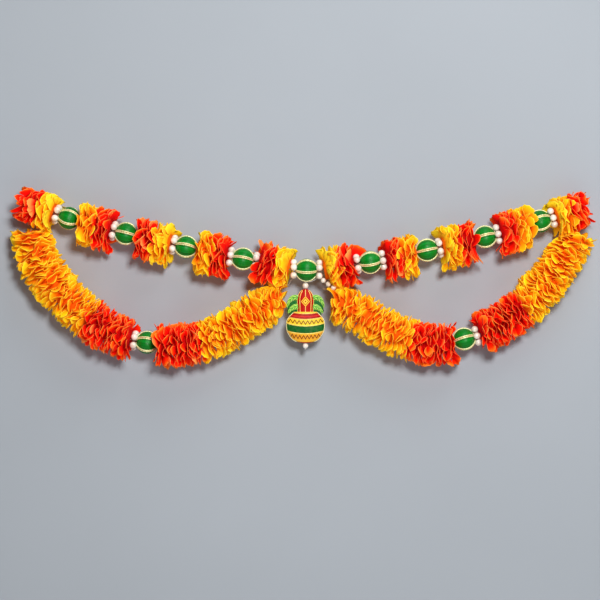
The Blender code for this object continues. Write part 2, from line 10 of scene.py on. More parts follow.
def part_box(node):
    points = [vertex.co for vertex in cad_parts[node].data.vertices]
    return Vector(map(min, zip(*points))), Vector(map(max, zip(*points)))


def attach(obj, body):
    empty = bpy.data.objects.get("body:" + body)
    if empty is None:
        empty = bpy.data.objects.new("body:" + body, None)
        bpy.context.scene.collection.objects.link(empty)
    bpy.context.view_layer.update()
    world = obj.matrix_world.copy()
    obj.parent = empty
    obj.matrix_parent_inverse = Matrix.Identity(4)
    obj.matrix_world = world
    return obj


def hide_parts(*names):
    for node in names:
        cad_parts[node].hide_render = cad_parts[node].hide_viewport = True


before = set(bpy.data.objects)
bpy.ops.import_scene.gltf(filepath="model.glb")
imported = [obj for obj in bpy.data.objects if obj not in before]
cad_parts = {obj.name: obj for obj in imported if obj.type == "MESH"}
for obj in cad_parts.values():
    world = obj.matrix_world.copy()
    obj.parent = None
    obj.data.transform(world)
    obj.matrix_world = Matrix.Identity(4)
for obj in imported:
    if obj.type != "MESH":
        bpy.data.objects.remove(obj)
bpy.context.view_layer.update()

# The camera looks straight at the wall. The picture is square and takes in 0.99 m of the plane
# that the garland's threads lie in, from three metres away.
CAMERA_AWAY = 3.0
PICTURE_SPAN = 0.990
PICTURE_MIDDLE = Vector((-0.0033, 0.0, -0.0428))
bpy.ops.object.select_all(action="DESELECT")
bpy.ops.object.camera_add(
    location=PICTURE_MIDDLE - Vector((0.0, CAMERA_AWAY, 0.0)), rotation=(math.pi / 2, 0.0, 0.0)
)
camera = bpy.context.object
camera.data.lens = camera.data.sensor_width * CAMERA_AWAY / PICTURE_SPAN
bpy.context.scene.camera = camera
bpy.context.scene.view_settings.view_transform = "Standard"


class Reading:
    """A number, colour or vector that a finish works out over a surface. Sums on numbers add
    Math nodes to the finish."""

    def __init__(self, finish, socket):
        self.finish, self.socket = finish, socket

    def sum(self, operation, *values):
        return self.finish.node("Math", {"operation": operation}, dict(enumerate(values)))

    def __add__(self, other):
        return self.sum("ADD", self, other)

    def __sub__(self, other):
        return self.sum("SUBTRACT", self, other)

    def __rsub__(self, other):
        return self.sum("SUBTRACT", other, self)

    def __mul__(self, other):
        return self.sum("MULTIPLY", self, other)

    def __truediv__(self, other):
        return self.sum("DIVIDE", self, other)

    def above(self, edge, soft):
        """0 below the edge and 1 above it, over a soft step."""
        span = {"From Min": edge - soft, "From Max": edge + soft}
        settings = {"interpolation_type": "SMOOTHSTEP"}
        return self.finish.node("MapRange", settings, {"Value": self, **span})

    def wave(self):
        return self.sum("SINE", self)

    def size(self):
        return self.sum("ABSOLUTE", self)

    def zigzag(self, step):
        """Runs up to step and back down to 0, over and over."""
        return self.sum("PINGPONG", self, step)


class Finish:
    """A material made of nodes round one Principled shader."""

    def __init__(self, name, **constants):
        self.material = bpy.data.materials.new(name)
        self.material.use_nodes = True
        self.tree = self.material.node_tree
        self.shader = self.tree.nodes["Principled BSDF"]
        for label, value in constants.items():
            socket = label.replace("_", " ").title().replace("Ior", "IOR")
            self.shader.inputs[socket].default_value = value

    def node(self, kind, settings=None, values=None, output=0):
        """A new node of that kind, set up and fed, and what it gives."""
        made = self.tree.nodes.new("ShaderNode" + kind)
        for label, value in (settings or {}).items():
            if label == "stops":
                ramp = made.color_ramp.elements
                while len(ramp) < len(value):
                    ramp.new(0.5)
                for stop, (place, colour) in zip(ramp, value):
                    stop.position, stop.color = place, (*colour, 1.0)
            else:
                setattr(made, label, value)
        for label, value in (values or {}).items():
            if isinstance(value, Reading):
                self.tree.links.new(value.socket, made.inputs[label])
            else:
                made.inputs[label].default_value = value
        return Reading(self, made.outputs[output])

    def ramp(self, share, stops):
        return self.node("ValToRGB", {"stops": stops}, {"Fac": share})

    def mix(self, share, first, second, blend="MIX"):
        """Two colours mixed. Sockets 6 and 7 are the Mix node's colours, and output 2 its
        colour."""
        first, second = (c if isinstance(c, Reading) else (*c, 1.0) for c in (first, second))
        settings = {"data_type": "RGBA", "blend_type": blend}
        return self.node("Mix", settings, {0: share, 6: first, 7: second}, output=2)

    def attribute(self, name):
        return self.node("Attribute", {"attribute_name": name}, output="Fac")

    def place(self):
        return self.node("TexCoord", output="Object")

    def apart(self, vector, axis):
        return self.node("SeparateXYZ", values={0: vector}, output=axis)

    def noise(self, place, scale, detail=2.0, roughness=0.5):
        values = {"Vector": place, "Scale": scale, "Detail": detail, "Roughness": roughness}
        return self.node("TexNoise", values=values)

    def feed(self, label, reading):
        self.tree.links.new(reading.socket, self.shader.inputs[label])

    def bump(self, height, distance, strength=1.0):
        values = {"Height": height, "Distance": distance, "Strength": strength}
        self.feed("Normal", self.node("Bump", values=values))


def grained(name, scale, stops, rough=0.0, **constants):
    """A finish speckled by fine noise. rough is the strength of the noise's bumps."""
    look = Finish(name, **constants)
    grain = look.noise(look.place(), scale)
    look.feed("Base Color", look.ramp(grain, stops))
    if rough:
        look.bump(grain, 0.0002, rough)
    return look


# The room is a pale grey-blue wall just behind the garland and a pale floor well below it. The
# wall is one-sided: it is clear from behind, so that the garland's back can be seen.
WALL_Y, WALL_SIZE, FLOOR_Z, FLOOR_SIZE = 0.0405, 6.0, -0.75, 8.0
WALL_COLOUR, FLOOR_COLOUR = (0.375, 0.405, 0.44), (0.55, 0.55, 0.55)
bpy.ops.mesh.primitive_plane_add(
    size=WALL_SIZE, location=(0.0, WALL_Y, FLOOR_Z + WALL_SIZE / 2),
    rotation=(math.pi / 2, 0.0, 0.0),
)
wall = bpy.context.object
wall.name = "wall"
plaster = Finish("plaster", roughness=0.9)
mottle = plaster.noise(plaster.place(), 2.5, 3.0)
shade = plaster.ramp(mottle, [(0.3, [0.96 * c for c in WALL_COLOUR]), (0.7, WALL_COLOUR)])
plaster.feed("Base Color", shade)
behind = plaster.node("NewGeometry", output="Backfacing")
clear = plaster.node("BsdfTransparent")
seen = Reading(plaster, plaster.shader.outputs["BSDF"])
one_sided = plaster.node("MixShader", values={0: behind, 1: seen, 2: clear})
plaster.tree.links.new(
    one_sided.socket, plaster.tree.nodes["Material Output"].inputs["Surface"]
)
wall.data.materials.append(plaster.material)
bpy.ops.mesh.primitive_plane_add(size=FLOOR_SIZE, location=(0.0, 0.0, FLOOR_Z))
floor = bpy.context.object
floor.name = "floor"
worn_floor = [0.95 * c for c in FLOOR_COLOUR]
boards = grained("floor_paint", 6.0, [(0.3, worn_floor), (0.7, FLOOR_COLOUR)], roughness=0.7)
floor.data.materials.append(boards.material)

# One lamp stands far in front, a little up and to the right. A wide soft one is much higher and
# nearer to the wall. Each is given by its place, its size and its power in watts.
LAMPS = [(Vector((0.42, -2.68, 0.76)), 0.55, 72.0), (Vector((0.80, -1.5, 2.3)), 1.6, 30.0)]
for lamp_place, size, power in LAMPS:
    bpy.ops.object.light_add(
        type="AREA", location=lamp_place, rotation=(-lamp_place).to_track_quat("-Z", "Y").to_euler()
    )
    bpy.context.object.data.size = size
    bpy.context.object.data.energy = power
world = bpy.data.worlds.new("studio")
world.use_nodes = True
world.node_tree.nodes["Background"].inputs["Color"].default_value = (0.86, 0.88, 0.92, 1.0)
world.node_tree.nodes["Background"].inputs["Strength"].default_value = 0.05
bpy.context.scene.world = world

# The garland's places are in millimetres, with the middle of its box in the frame at MIDDLE.
# x runs to the right, z up, and the front faces -y.
MM = 0.001
MIDDLE = (2.5, 4.8)
LEFT_END_TUFT, RIGHT_END_TUFT = (-434.8, 115.5), (439.7, 107.0)
LEFT_SWAG = [
    (-440.0, 48.0), (-427.0, 18.0), (-409.0, -8.0), (-382.0, -38.9), (-350.0, -67.0),
    (-315.0, -89.5), (-283.0, -102.5), (-253.3, -108.5), (-228.0, -112.0), (-203.8, -112.2),
    (-161.0, -105.0), (-123.0, -89.0), (-85.0, -65.0), (-57.0, -47.5), (-30.0, -36.0),
]
RIGHT_SWAG = [
    (54.5, -39.5), (77.0, -47.5), (114.7, -70.0), (144.4, -88.0), (175.7, -102.0),
    (212.0, -110.5), (241.0, -109.5), (269.8, -103.1), (297.0, -93.0), (337.4, -71.0),
    (369.0, -47.0), (401.0, -14.9), (425.5, 17.0), (441.0, 46.0),
]


def flat(x, z):
    """A place in the garland's plane, in metres in the frame."""
    return Vector((x - MIDDLE[0], 0.0, z - MIDDLE[1])) * MM


def middle_of(node):
    low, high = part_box(node)
    return Vector(((low.x + high.x) / 2, 0.0, (low.z + high.z) / 2))


def up_from(along):
    """The direction square to a line in the garland's plane, upwards where it runs to +x."""
    return Vector((-along.z, 0.0, along.x))


def around(along, angle):
    """The way off a line, and the way on round it, at an angle from its front upwards."""
    front, up = Vector((0, -1, 0)), up_from(along)
    off = front * math.cos(angle) + up * math.sin(angle)
    return off, up * math.cos(angle) - front * math.sin(angle)


beads = [middle_of(f"bead_{k:02d}") for k in range(1, 10)]
knots = [flat(*LEFT_END_TUFT)] + beads + [flat(*RIGHT_END_TUFT)]
bead_axes = [(b - a).normalized() for a, b in zip(knots, knots[2:])]


def put_on(piece, *nodes, slot=None, crease=math.pi):
    """Ends a piece: its mesh is smooth but for its creases, and it rides on the garland in
    place of its nodes."""
    bpy.ops.object.select_all(action="DESELECT")
    piece.select_set(True)
    bpy.context.view_layer.objects.active = piece
    bpy.ops.object.transform_apply(location=True, rotation=True, scale=True)
    bpy.ops.object.shade_smooth_by_angle(angle=crease)
    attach(piece, "root")
    if nodes:
        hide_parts(*nodes)


def joined(name, pieces):
    """One object of that name from several."""
    bpy.ops.object.select_all(action="DESELECT")
    for piece in pieces:
        piece.select_set(True)
    bpy.context.view_layer.objects.active = pieces[0]
    if len(pieces) > 1:
        bpy.ops.object.join()
    pieces[0].name = pieces[0].data.name = name
    return pieces[0]


def copied(piece):
    copy = piece.copy()
    copy.data = piece.data.copy()
    bpy.context.scene.collection.objects.link(copy)
    return copy


def cut_rod(sides, radius, steps):
    """A rod one metre long on the z axis, cut across into equal steps."""
    bpy.ops.object.select_all(action="DESELECT")
    bpy.ops.mesh.primitive_cylinder_add(
        vertices=sides, radius=radius, depth=1.0, end_fill_type="TRIFAN"
    )
    bpy.ops.object.mode_set(mode="EDIT")
    for k in range(1, steps):
        bpy.ops.mesh.select_all(action="SELECT")
        bpy.ops.mesh.bisect(plane_co=(0, 0, k / steps - 0.5), plane_no=(0, 0, 1))
    bpy.ops.object.mode_set(mode="OBJECT")
    return bpy.context.object


# The beads are oval cores wound with green silk thread from end to end, with five bands of
# pale gold braid laid over the silk. Each braid is a pair of twisted cords, with a thin dark one
# between them that is painted shade in the groove between the two. Every bead has turned by its
# own angle on the thread.
BEAD_HALF, BEAD_RADIUS = 0.018, 0.0185
BANDS = 5
BEAD_TURNS = [math.radians(turn) for turn in (40, 7, 15, 11, -15, -17, 2, 13, 25)]
LEFT_SWAG_TURN, RIGHT_SWAG_TURN = math.radians(27), math.radians(14)
CORD_RADIUS, CORD_APART, GROOVE_SHADE_RADIUS = 0.00095, 0.00130, 0.0006
CORD_STEPS, CORD_SIDES, CORD_TWISTS = 64, 8, 11
CORD_REACH = math.radians(78)
CORD_SINK, PLY_DEPTH = 0.3, 0.2
DIMPLE_FROM, DIMPLE_DEPTH = 0.93, 2.2
SILK_THREADS = 110

silk = Finish("green_silk_thread", roughness=0.32, specular_ior_level=0.25)
around_bead = silk.apart(silk.node("TexCoord", output="UV"), "X")
strands = (around_bead * (SILK_THREADS * math.tau)).wave()
bundles = silk.noise(silk.node(
    "CombineXYZ", values={0: around_bead * 60.0, 1: silk.apart(silk.place(), "Z") * 12.0}
), 1.0)
silk_colour = silk.ramp(
    bundles, [(0.25, (0.0, 0.07, 0.005)), (0.5, (0.0, 0.19, 0.011)), (0.8, (0.0, 0.33, 0.03))]
)
silk.feed("Base Color", silk_colour)
silk.bump(strands * 0.5 + bundles, 0.00012, 0.8)

braid = grained(
    "gold_braid", 900.0,
    [(0.3, (0.66, 0.50, 0.16)), (0.5, (0.88, 0.86, 0.42)), (0.7, (0.98, 1.0, 0.66))],
    rough=0.6, metallic=0.25, roughness=0.40,
)
# A thin dark cord: painted shade in the groove between a braid's two pale cords.
groove_shade_braid = grained(
    "gold_braid_groove_shade", 900.0, [(0.35, (0.16, 0.08, 0.01)), (0.65, (0.55, 0.33, 0.06))],
    metallic=0.3, roughness=0.45,
)

bpy.ops.object.select_all(action="DESELECT")
bpy.ops.mesh.primitive_uv_sphere_add(segments=48, ring_count=28, radius=1.0)
silk_core = bpy.context.object
for vertex in silk_core.data.vertices:
    dimple = max(0.0, abs(vertex.co.z) - DIMPLE_FROM) * DIMPLE_DEPTH
    vertex.co = (
        vertex.co.x * BEAD_RADIUS, vertex.co.y * BEAD_RADIUS,
        vertex.co.z * BEAD_HALF * (1.0 - dimple),
    )
silk_core.data.materials.append(silk.material)

cord = cut_rod(CORD_SIDES, 1.0, CORD_STEPS)


def laid_cord(line, radius, twists, look):
    """A two-ply twisted cord laid along a line. line(share) gives its place at a share of its
    length, and the direction away from what it lies on."""
    piece = copied(cord)
    for vertex in piece.data.vertices:
        share = vertex.co.z + 0.5
        place, away = line(share)
        ahead = (line(share + 0.01)[0] - line(share - 0.01)[0]).normalized()
        across = ahead.cross(away).normalized()
        side = math.atan2(vertex.co.y, vertex.co.x)
        out = vertex.co.xy.length * radius
        out *= 1.0 + PLY_DEPTH * math.cos(2 * side + share * twists * math.tau)
        vertex.co = (
            place + across.cross(ahead) * out * math.cos(side) + across * out * math.sin(side)
        )
    piece.data.materials.append(look.material)
    return piece


def bead_line(turn, offset):
    """A line over the bead from end to end, at an angle round it."""
    radial = Vector((math.cos(turn), math.sin(turn), 0.0))
    sideways = Vector((-math.sin(turn), math.cos(turn), 0.0))

    def line(share):
        latitude = (2 * share - 1) * CORD_REACH
        lift = BEAD_RADIUS + CORD_RADIUS * CORD_SINK
        place = radial * lift * math.cos(latitude)
        place += sideways * offset * max(0.0, math.cos(latitude)) ** 0.5
        place.z = (BEAD_HALF + CORD_RADIUS * CORD_SINK) * math.sin(latitude)
        return place, radial * math.cos(latitude) + Vector((0.0, 0.0, math.sin(latitude)))

    return line


cords = []
for band in range(BANDS):
    turn = math.tau * band / BANDS
    for side, radius, look in (
        (-1, CORD_RADIUS, braid), (0, GROOVE_SHADE_RADIUS, groove_shade_braid), (1, CORD_RADIUS, braid)
    ):
        cords.append(laid_cord(bead_line(turn, side * CORD_APART), radius, CORD_TWISTS, look))
bead_braid = joined("bead_braid", cords)


def set_bead(name, centre, along, turn):
    """A bead on its thread. The x side of its model goes to the front and its y side upwards,
    so that turn lifts the bands from the front."""
    turned = Matrix((*around(along, turn), along)).transposed().to_4x4()
    for model, part in ((silk_core, "silk"), (bead_braid, "braid")):
        piece = copied(model)
        piece.name = piece.data.name = f"{name}_{part}"
        piece.data.transform(Matrix.Translation(centre) @ turned)
        if piece.data.polygons[0].normal.dot(piece.data.polygons[0].center - centre) < 0:
            piece.data.flip_normals()
        if part == "silk":
            put_on(piece, name, slot="green_silk")
        else:
            put_on(piece)


for k, (bead, along, turn) in enumerate(zip(beads, bead_axes, BEAD_TURNS)):
    set_bead(f"bead_{k + 1:02d}", bead, along, turn)


class Line:
    """A smooth line through given points, read by the distance along it."""

    def __init__(self, points, steps=16):
        ends = [2 * points[0] - points[1]] + list(points) + [2 * points[-1] - points[-2]]
        self.points = [points[0]]
        for before, start, end, after in zip(ends, ends[1:], ends[2:], ends[3:]):
            for step in range(1, steps + 1):
                t = step / steps
                pull = (end - before) * t + (2 * before - 5 * start + 4 * end - after) * t**2
                pull += (3 * start - before - 3 * end + after) * t**3
                self.points.append(start + pull / 2)
        self.marks = [0.0]
        for a, b in zip(self.points, self.points[1:]):
            self.marks.append(self.marks[-1] + (b - a).length)
        self.length = self.marks[-1]

    def at(self, distance):
        """The point at a distance along the line, and the line's direction there."""
        index = 0
        while index < len(self.marks) - 2 and self.marks[index + 1] < distance:
            index += 1
        a, b = self.points[index], self.points[index + 1]
        point = a.lerp(b, (distance - self.marks[index]) / (b - a).length)
        low, high = max(index - 4, 0), min(index + 5, len(self.points) - 1)
        return point, (self.points[high] - self.points[low]).normalized()

    def distance_at_x(self, x):
        nearest = min(range(len(self.points)), key=lambda i: abs(self.points[i].x - x))
        return self.marks[nearest]


# The swags hang from the end tufts' middles to the centre, each with a bead near its lowest
# point.
SWAG_START = 0.043
END_TUFT_LENGTH = 0.049
# The sides of each bead that have a ring of pearls, -1 to its left and 1 to its right, and the
# degrees that the ring's first pearl is above the front.
RINGS = [
    {-1: 36}, {-1: 33}, {-1: 36}, {-1: 18, 1: 36}, {-1: 18, 1: 18}, {-1: 36, 1: -7},
    {1: 40}, {1: 0}, {1: -3},
]
RING_PLANE, RING_RADIUS, PEARL = 0.0211, 0.0102, 0.0052
FIT, SEAM = 0.00035, 0.00025
# The x of each swag's bead, in millimetres, and the degrees of its ring's first pearl.
LEFT_BEAD_X, LEFT_RING_TURN = -253.3, 33
RIGHT_BEAD_X, RIGHT_RING_TURN = 269.8, 2


def past_ring(tilt):
    """How far from its bead's middle a core clears the ring, when it leans by tilt."""
    return RING_PLANE + PEARL + FIT + (RING_RADIUS + PEARL) * math.sin(tilt)


def face(k, side, along):
    """Where a tuft ends next to bead k: past the bead's end, or past the ring between them."""
    away = BEAD_HALF + FIT
    if side in RINGS[k]:
        away = past_ring(bead_axes[k].angle(along))
    return beads[k] + bead_axes[k] * side * away


def tuft_ends(k):
    """Where tuft k's core starts and ends, between its two beads."""
    before, after = knots[k], knots[k + 1]
    along = (after - before).normalized()
    if k > 0:
        low = face(k - 1, 1, along)
    if k < len(beads):
        high = face(k, -1, along)
    if k == 0:
        low = high - (high - before).normalized() * END_TUFT_LENGTH
    if k == len(beads):
        high = low + (after - low).normalized() * END_TUFT_LENGTH
    return low, high


def hang_point(low, high):
    """Where a swag's line meets the end tuft above it."""
    return (low + high) / 2 - up_from((high - low).normalized()) * SWAG_START


left_line = Line([hang_point(*tuft_ends(0))] + [flat(*place) for place in LEFT_SWAG])
right_line = Line([flat(*place) for place in RIGHT_SWAG] + [hang_point(*tuft_ends(len(beads)))])
swag_beads = {}
for side, line, bead_x, turn in (
    ("left", left_line, LEFT_BEAD_X, LEFT_SWAG_TURN),
    ("right", right_line, RIGHT_BEAD_X, RIGHT_SWAG_TURN),
):
    swag_beads[side] = line.distance_at_x((bead_x - MIDDLE[0]) * MM)
    middle, along = line.at(swag_beads[side])
    set_bead(f"bead_{side}_swag", middle, along, turn)
for model in (silk_core, bead_braid):
    bpy.data.objects.remove(model)

# Five ivory pearls make a ring at one or both ends of a bead. The pearls and their ring are
# slightly larger than the frame's.
RING_PEARLS = 5
ROUND_PEARL, ROUND_RING = 0.0056, 0.0118
PEARL_DIMPLE = 0.85
pearl = Finish("pearl_lustre", roughness=0.26, coat_weight=0.5, coat_roughness=0.15)
cloud = pearl.noise(pearl.place(), 130.0, 2.0)
pearl.feed("Base Color", pearl.ramp(
    cloud, [(0.3, (0.66, 0.54, 0.42)), (0.5, (0.84, 0.75, 0.64)), (0.72, (0.95, 0.90, 0.82))]
))
pearl.bump(pearl.noise(pearl.place(), 500.0), 0.00005, 0.5)


def strung_pearl(radius):
    """One pearl round the origin, its hole on the z axis, dimpled where the thread enters."""
    bpy.ops.object.select_all(action="DESELECT")
    bpy.ops.mesh.primitive_uv_sphere_add(segments=20, ring_count=14, radius=radius)
    piece = bpy.context.object
    for vertex in piece.data.vertices:
        if vertex.co.xy.length < radius / 10:
            vertex.co.z *= PEARL_DIMPLE
    piece.data.materials.append(pearl.material)
    return piece


def set_pearl(model, centre, hole):
    """A copy of a pearl at its place, with its hole along a direction."""
    piece = copied(model)
    turned = hole.to_track_quat("Z", "Y").to_matrix().to_4x4()
    piece.data.transform(Matrix.Translation(centre) @ turned)
    return piece


def set_ring(name, centre, along, turn):
    made = []
    for k in range(RING_PEARLS):
        out, hole = around(along, math.radians(turn) + math.tau * k / RING_PEARLS)
        made.append(set_pearl(ring_pearl, centre + out * ROUND_RING, hole))
    put_on(joined(f"{name}_pearls", made), name, slot="pearl")


ring_pearl = strung_pearl(ROUND_PEARL)
for k, (bead, along) in enumerate(zip(beads, bead_axes)):
    for side, turn in RINGS[k].items():
        name = f"pearl_ring_{k + 1:02d}_{'left' if side < 0 else 'right'}"
        set_ring(name, bead + along * side * RING_PLANE, along, turn)
for side, line, way, turn in (
    ("left", left_line, -1, LEFT_RING_TURN), ("right", right_line, 1, RIGHT_RING_TURN)
):
    middle, along = line.at(swag_beads[side])
    set_ring(f"pearl_ring_{side}_swag", middle + along * way * RING_PLANE, along, turn)
bpy.data.objects.remove(ring_pearl)

# Three smaller pearls hang on the thread between the middle bead's right ring and the right
# swag. Their row is read from opposite corners of its box in the frame, but lies further
# forward, and its lower end further over, on top of the petals.
CHAIN_PEARL, CHAIN_PEARLS = 0.0043, 3
CHAIN_OVER, CHAIN_UP, START_AHEAD, END_AHEAD = 0.006, 0.001, 0.004, 0.010
low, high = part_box("pearl_chain")
chain_start = Vector((low.x + CHAIN_PEARL, -START_AHEAD, high.z - CHAIN_PEARL))
chain_end = Vector((
    high.x - CHAIN_PEARL + CHAIN_OVER, -END_AHEAD, low.z + CHAIN_PEARL + CHAIN_UP
))
chain_pearl = strung_pearl(CHAIN_PEARL)
chain = []
for n in range(CHAIN_PEARLS):
    spot = chain_start.lerp(chain_end, n / (CHAIN_PEARLS - 1))
    chain.append(set_pearl(chain_pearl, spot, chain_end - chain_start))
bpy.data.objects.remove(chain_pearl)
put_on(joined("chain_pearls", chain), "pearl_chain", slot="pearl")

# The threads are twisted cotton. A thick one, painted darker than the white one as painted shade
# where it runs among the petals, carries the beads and ends in a loop to hang from at each side,
# and a fine white one carries the pendant. Both keep the frame's shapes.
def twisted_thread(name, dark, pale):
    look = Finish(name, roughness=0.75)
    twist = look.node("TexWave", {"bands_direction": "DIAGONAL"}, {
        "Vector": look.place(), "Scale": 420.0, "Distortion": 1.5, "Detail": 1.0
    }, output="Fac")
    look.feed("Base Color", look.ramp(twist, [(0.2, dark), (0.8, pale)]))
    look.bump(twist, 0.0002, 0.8)
    return look


# The thick thread's darker colour is painted shade where it runs hidden among the petals.
shade_darkened_thread = twisted_thread("cotton_darkened_as_shade", (0.24, 0.20, 0.15), (0.46, 0.41, 0.33))
white = twisted_thread("white_cotton", (0.50, 0.48, 0.44), (0.84, 0.82, 0.78))
for name, look in (("stringing_thread", shade_darkened_thread), ("pendant_thread", white)):
    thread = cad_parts[name].data
    thread.materials.clear()
    thread.materials.append(look.material)

# The flowers are layers of thin cloth, each cut to a round of petals with toothed edges and
# threaded by its middle. Packed on the thread, the petals curl, twist and push one another to
# and fro. The cloth's colour runs from deep at the middle, which is painted shade where the
# layers pack together, to its bright dye at the tips, and it is pale at its cut edges.
LAYER_ROWS = (0.011, 0.0175, 0.024, 0.0295, 0.0335, 0.0365)
FREE = LAYER_ROWS[-1] - LAYER_ROWS[0]
CLOTH, TOOTH = 0.00045, 0.035
PETAL_COLUMNS, PETAL_LENGTHS = 10, (0.9, 1.04)
CORE, CORE_SIDES, CORE_STEP = 0.016, 20, 0.008
# Light comes through the cloth from petal to petal, which a faint glow in its own colour
# stands for.
CLOTH_GLOW = 0.11
# For each colour: its dyes from the middle to the tips, with painted shade at the middle, its cut
# edges' colour and share, and the share of that colour in the few faded petals.
CLOTH_LOOKS = {
    "yellow": (
        [(0.0, (0.74, 0.10, 0.0)), (0.3, (0.92, 0.25, 0.002)), (0.55, (0.98, 0.40, 0.004)),
         (0.8, (1.0, 0.53, 0.004)), (1.0, (1.0, 0.66, 0.005))],
        (1.0, 0.78, 0.08), 0.5, 0.2,
    ),
    "orange": (
        [(0.0, (0.42, 0.0, 0.0)), (0.35, (0.76, 0.001, 0.0)), (0.62, (0.95, 0.006, 0.0)),
         (0.82, (1.0, 0.04, 0.0)), (1.0, (1.0, 0.20, 0.008))],
        (1.0, 0.36, 0.09), 0.45, 0.7,
    ),
}


def cloth_finish(colour):
    cloth = Finish(f"marigold_{colour}_cloth", roughness=0.85, specular_ior_level=0.12)
    dyes_and_painted_shade, edge_colour, edging, fading = CLOTH_LOOKS[colour]
    patches = cloth.noise(cloth.place(), 90.0, 2.0)
    depth = cloth.attribute("reach") + (cloth.attribute("tint") - 0.5) * 0.45
    depth = depth + (patches - 0.5) * 0.3
    # The ramp is deepest where reach is low, near the thread: painted shade between the packed
    # layers.
    dyed_and_shaded = cloth.ramp(depth, dyes_and_painted_shade)
    edge = cloth.attribute("rim").above(0.965, 0.02)
    faded = cloth.attribute("tint").above(0.92, 0.005) * cloth.attribute("reach").above(0.55, 0.3)
    cloth.feed("Base Color", cloth.mix(edge * edging + faded * fading, dyed_and_shaded, edge_colour))
    weave = cloth.noise(cloth.node("TexCoord", output="UV"), 900.0, 1.0)
    cloth.bump(weave + patches * 2.0, 0.0003, 0.5)
    cloth.feed("Emission Color", dyed_and_shaded)
    cloth.shader.inputs["Emission Strength"].default_value = CLOTH_GLOW
    return cloth


cloths = {colour: cloth_finish(colour) for colour in CLOTH_LOOKS}


class CutLayer:
    """One flat cut layer of cloth round the origin, and for each of its vertices: its column,
    angle, distance out and height, its share of the way out to the tips, its petal and its
    place across the petal, from -1 to 1."""

    def __init__(self, petals, cleft, draw):
        self.petals = petals
        self.columns = petals * PETAL_COLUMNS
        bpy.ops.object.select_all(action="DESELECT")
        bpy.ops.mesh.primitive_circle_add(
            vertices=self.columns, radius=LAYER_ROWS[0], fill_type="NOTHING"
        )
        bpy.ops.object.mode_set(mode="EDIT")
        for near, far in zip(LAYER_ROWS, LAYER_ROWS[1:]):
            bpy.ops.mesh.extrude_edges_move()
            bpy.ops.transform.resize(value=(far / near, far / near, 1.0))
        bpy.ops.mesh.select_all(action="SELECT")
        bpy.ops.mesh.normals_make_consistent(inside=False)
        bpy.ops.object.mode_set(mode="OBJECT")
        self.piece = bpy.context.object
        mesh = self.piece.data
        lengths = [draw.uniform(*PETAL_LENGTHS) for _ in range(petals)]
        rim = mesh.attributes.new("rim", "FLOAT", "POINT")
        for vertex in mesh.vertices:
            _, _, petal, step, out = self.spot(vertex)
            across = 2 * step / PETAL_COLUMNS - 1
            length = lengths[petal] * (1 - cleft * (1 - math.sqrt(1 - across * across)))
            if step == 0:
                length = (1 - cleft) * min(lengths[petal], lengths[petal - 1])
            else:
                length += TOOTH / 2 * (-1) ** step
            way = max(0.0, (out - LAYER_ROWS[0]) / FREE)
            reach = LAYER_ROWS[0] + (length * LAYER_ROWS[-1] - LAYER_ROWS[0]) * way
            vertex.co.xy *= reach / out
            rim.data[vertex.index].value = way
        cut = mesh.uv_layers.new(name="cut")
        for loop in mesh.loops:
            cut.data[loop.index].uv = mesh.vertices[loop.vertex_index].co.xy
        thicken = self.piece.modifiers.new("cloth", "SOLIDIFY")
        thicken.thickness, thicken.offset = CLOTH, 0.0
        bpy.ops.object.modifier_apply(modifier=thicken.name)
        mesh = self.piece.data
        self.marks = []
        for name in ("reach", "tint"):
            mesh.attributes.new(name, "FLOAT", "POINT")
        reach = mesh.attributes["reach"]
        for vertex in mesh.vertices:
            turn, column, petal, step, out = self.spot(vertex)
            share = min(1.0, max(0.0, (out - LAYER_ROWS[0]) / FREE))
            across = 2 * step / PETAL_COLUMNS - 1
            reach.data[vertex.index].value = share
            self.marks.append((column, turn, out, vertex.co.z, share, petal, across))

    def spot(self, vertex):
        """A vertex's angle, column, petal, step across the petal and distance out."""
        turn = math.atan2(vertex.co.y, vertex.co.x) % (math.tau)
        column = round(turn / (math.tau) * self.columns) % self.columns
        return turn, column, *divmod(column, PETAL_COLUMNS), vertex.co.xy.length



FIELD_GAIN, SEED_STEP = 1.7, 17.3


def field(angle, station, size, seed):
    """A smooth random number, about -1 to 1, round the thread and along it."""
    reach = LAYER_ROWS[-1] / size
    along = station / size + SEED_STEP * seed
    return FIELD_GAIN * noise.noise((math.cos(angle) * reach, math.sin(angle) * reach, along))


# Where a yellow bunch meets a ring of pearls, its last layers have fewer, broader petals, which
# are calmer than the rest and painted brighter: a painted highlight on their broad faces.
SMOOTH_LAYERS, SMOOTH_CALM, SMOOTH_HIGHLIGHT = 2, 0.6, 1.3
LAYER_SIZES = (0.94, 1.02)
CURL_MIDDLE = 0.3


